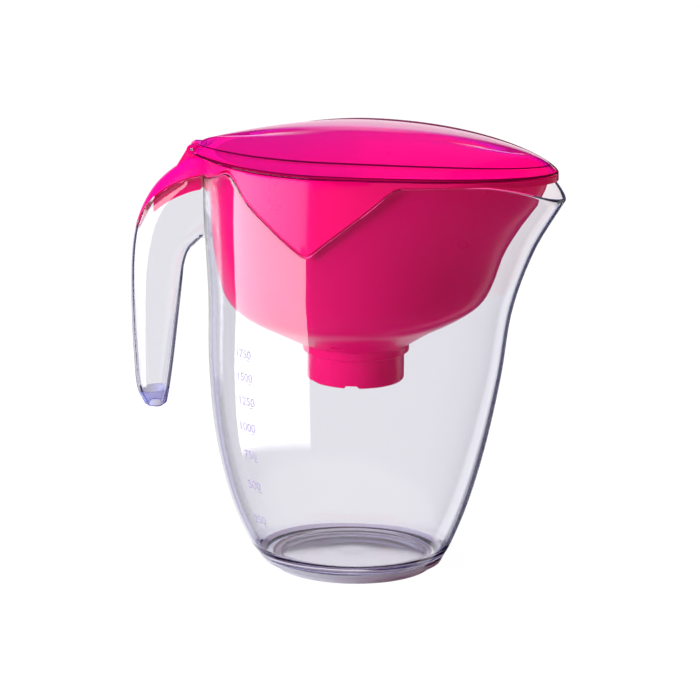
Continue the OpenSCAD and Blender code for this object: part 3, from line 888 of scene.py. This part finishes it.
studio = {
    "floorHalf": 3.0, "floorColour": (0.6, 0.6, 0.6), "floorGlow": 0.9, "glowLevel": 1.1,
    "lamps": [  # name, place, size, watts
        ("leftBox", (-1.3, -1.2, 0.6), 0.9, 29.0),
        ("topBox", (-0.4, -0.1, 1.6), 1.0, 38.0),
    ],
    "ambient": 0.27, "redGlow": (0.7, 0.0, 0.0), "glowPlaces": (0.04, 0.45),
    "wallStops": [  # degrees from the camera side, minus is left; brightness
        (-180, 1.0), (-150, 0.95), (-136, 0.7), (-126, 0.06), (-104, 0.05), (-20, 0.05), (30, 0.0), (122, 0.0),
        (132, 0.9), (147, 1.0), (153, 0.0), (174, 0.0), (178, 0.15), (180, 1.0)],
    "violetStops": [  # degrees, share of violet
        (-180, 0), (-150, 0), (-142, 0.5), (-104, 0.5), (-101, 0), (146, 0), (152, 1), (177, 1), (180, 0)],
    "violet": (0.36, 0.34, 0.85), "wallTop": (0.10, 0.22),
    "aboveSeenThrough": 0.9, "aboveMirrored": 0.05,
    "boxSides": (-100, -24), "boxHeights": (-0.42, 0.14), "boxLevel": 6.5,
    "straightLevel": 0.9, "navy": (0.2, 0.2, 0.95), "navyLevel": 0.12, "navyBelow": 0.16,
}


def mathNode(nodes, links, operation, *values):
    node = nodes.new("ShaderNodeMath")
    node.operation = operation
    for k, value in enumerate(values):
        if isinstance(value, (int, float)):
            node.inputs[k].default_value = value
        else:
            links.new(value, node.inputs[k])
    return node.outputs[0]


def addFloor():
    deselectAll()
    bpy.ops.mesh.primitive_plane_add(size=2 * studio["floorHalf"])
    floor = bpy.context.object
    floor.name = "floor"
    material, nodes, links, shader, output = newMaterial("floorPale")
    shader.inputs["Base Color"].default_value = (*studio["floorColour"], 1)
    shader.inputs["Roughness"].default_value = 0.7
    glow = nodes.new("ShaderNodeEmission")
    glow.inputs["Strength"].default_value = studio["glowLevel"]
    path = nodes.new("ShaderNodeLightPath")
    seen = mathNode(nodes, links, "MAXIMUM", path.outputs["Is Camera Ray"], path.outputs["Is Transmission Ray"])
    seen = mathNode(nodes, links, "MAXIMUM", seen, path.outputs["Is Glossy Ray"])
    choose = nodes.new("ShaderNodeMixShader")
    links.new(mathNode(nodes, links, "MULTIPLY", seen, studio["floorGlow"]), choose.inputs["Fac"])
    links.new(shader.outputs["BSDF"], choose.inputs[1])
    links.new(glow.outputs["Emission"], choose.inputs[2])
    links.new(choose.outputs["Shader"], output.inputs["Surface"])
    floor.data.materials.append(material)
    floor.visible_glossy = False  # gloss and clear plastic see the surroundings in its place
    floor.visible_transmission = False


def addLamps():
    for name, place, size, watts in studio["lamps"]:
        data = bpy.data.lights.new(name, "AREA")
        data.shape = "SQUARE"
        data.size = size
        data.energy = watts
        lamp = bpy.data.objects.new(name, data)
        lamp.location = place
        lamp.rotation_euler = (Vector(place) - Vector((0, 0, 0.13))).to_track_quat("Z", "Y").to_euler()
        lamp.visible_glossy = False
        lamp.visible_transmission = False
        bpy.context.scene.collection.objects.link(lamp)


def addSurroundings():
    # white to the eye, an even pale light on matt surfaces, and for gloss and clear plastic
    # a white wall behind, a tall soft box on the left and darker sides
    world = bpy.data.worlds.new("studio")
    bpy.context.scene.world = world
    world.use_nodes = True
    nodes, links = world.node_tree.nodes, world.node_tree.links
    background = nodes["Background"]

    def calculate(operation, *values):
        return mathNode(nodes, links, operation, *values)

    def allRound(stops, colourOf):
        # colours set round the full circle
        node = nodes.new("ShaderNodeValToRGB")
        elements = node.color_ramp.elements
        for place, share in stops[1:-1]:
            elements.new((place + 180) / 360).color = (*colourOf(share), 1)
        elements[0].color = (*colourOf(stops[0][1]), 1)
        elements[-1].color = (*colourOf(stops[-1][1]), 1)
        links.new(turn, node.inputs["Fac"])
        return node

    def range01(value, start, end, interpolation="LINEAR"):
        node = nodes.new("ShaderNodeMapRange")
        node.interpolation_type = interpolation
        node.inputs["From Min"].default_value = start
        node.inputs["From Max"].default_value = end
        links.new(value, node.inputs["Value"])
        return node.outputs["Result"]

    def between(value, low, high, soft):
        return calculate("MULTIPLY", range01(value, low, low + soft, "SMOOTHSTEP"),
                         range01(value, high, high - soft, "SMOOTHSTEP"))

    coordinates = nodes.new("ShaderNodeTexCoord")
    split = nodes.new("ShaderNodeSeparateXYZ")
    links.new(coordinates.outputs["Generated"], split.inputs[0])
    x, y, z = split.outputs
    side = calculate("ARCTAN2", x, calculate("MULTIPLY", y, -1))
    turn = calculate("MULTIPLY_ADD", side, 0.5 / math.pi, 0.5)
    wall = allRound(studio["wallStops"], lambda share: (share, share, share))
    wall.color_ramp.interpolation = "EASE"
    violet = studio["violet"]
    hues = allRound(studio["violetStops"], lambda share: [mix(1, part, share) for part in violet])
    split = nodes.new("ShaderNodeSeparateColor")
    links.new(wall.outputs["Color"], split.inputs[0])
    level = split.outputs[0]
    left, right = [math.radians(degrees) for degrees in studio["boxSides"]]
    box = calculate("MULTIPLY", between(side, left, right, 0.03), between(z, *studio["boxHeights"], 0.04))
    wallEnd = calculate("SUBTRACT", 1, range01(z, *studio["wallTop"]))  # a little above the object

    path = nodes.new("ShaderNodeLightPath")
    mirrored, refracted = path.outputs["Is Reflection Ray"], path.outputs["Is Transmission Ray"]
    above = calculate("MULTIPLY", calculate("SUBTRACT", 1, wallEnd), calculate(
        "MULTIPLY_ADD", mirrored, studio["aboveMirrored"] - studio["aboveSeenThrough"],
        studio["aboveSeenThrough"]))
    polished = calculate("ADD", calculate("MULTIPLY_ADD", level, wallEnd, above),
                         calculate("MULTIPLY", calculate("MULTIPLY", box, studio["boxLevel"]), mirrored))
    # what is seen straight through clear plastic, or after many turns in it, is white all round
    once = calculate("MULTIPLY", calculate("COMPARE", path.outputs["Glossy Depth"], 1, 0.5),
                     calculate("LESS_THAN", path.outputs["Transmission Depth"], 4.5))
    straight = calculate("MULTIPLY", refracted, calculate("SUBTRACT", 1, once))
    # after one turn in it the dark parts look navy
    navy = calculate("MULTIPLY", calculate("MULTIPLY", refracted, once),
                     calculate("MULTIPLY", calculate("LESS_THAN", level, studio["navyBelow"]), wallEnd))
    polished = calculate("MAXIMUM", polished, calculate("MULTIPLY", straight, studio["straightLevel"]))
    polished = calculate("MAXIMUM", polished, calculate("MULTIPLY", navy, studio["navyLevel"]))
    sharp = calculate("MAXIMUM", path.outputs["Is Glossy Ray"], refracted)
    soft = calculate("SUBTRACT", 1, sharp)
    strength = calculate("ADD", calculate("MULTIPLY", polished, sharp),
                         calculate("MULTIPLY", soft, studio["ambient"]))
    seen = path.outputs["Is Camera Ray"]
    strength = calculate("MAXIMUM", calculate("MULTIPLY", strength, calculate("SUBTRACT", 1, seen)), seen)
    links.new(strength, background.inputs["Strength"])

    # matt surfaces get a redder light on the right, as from the pink plastic
    glow = nodes.new("ShaderNodeValToRGB")
    for element, place, colour in zip(glow.color_ramp.elements, studio["glowPlaces"],
                                      ((1, 1, 1), studio["redGlow"])):
        element.position = place
        element.color = (*colour, 1)
    links.new(calculate("MULTIPLY_ADD", x, 0.5, 0.5), glow.inputs["Fac"])
    colour = hues.outputs["Color"]
    for share, other in ((navy, studio["navy"]), (straight, (1, 1, 1)), (soft, glow.outputs["Color"])):
        choose = nodes.new("ShaderNodeMix")
        choose.data_type = "RGBA"
        links.new(share, choose.inputs["Factor"])
        links.new(colour, choose.inputs["A"])
        if isinstance(other, tuple):
            choose.inputs["B"].default_value = (*other, 1)
        else:
            links.new(other, choose.inputs["B"])
        colour = choose.outputs["Result"]
    links.new(colour, background.inputs["Color"])


addFloor()
addLamps()
addSurroundings()
bpy.context.scene.view_settings.view_transform = "Standard"
print("studio done")
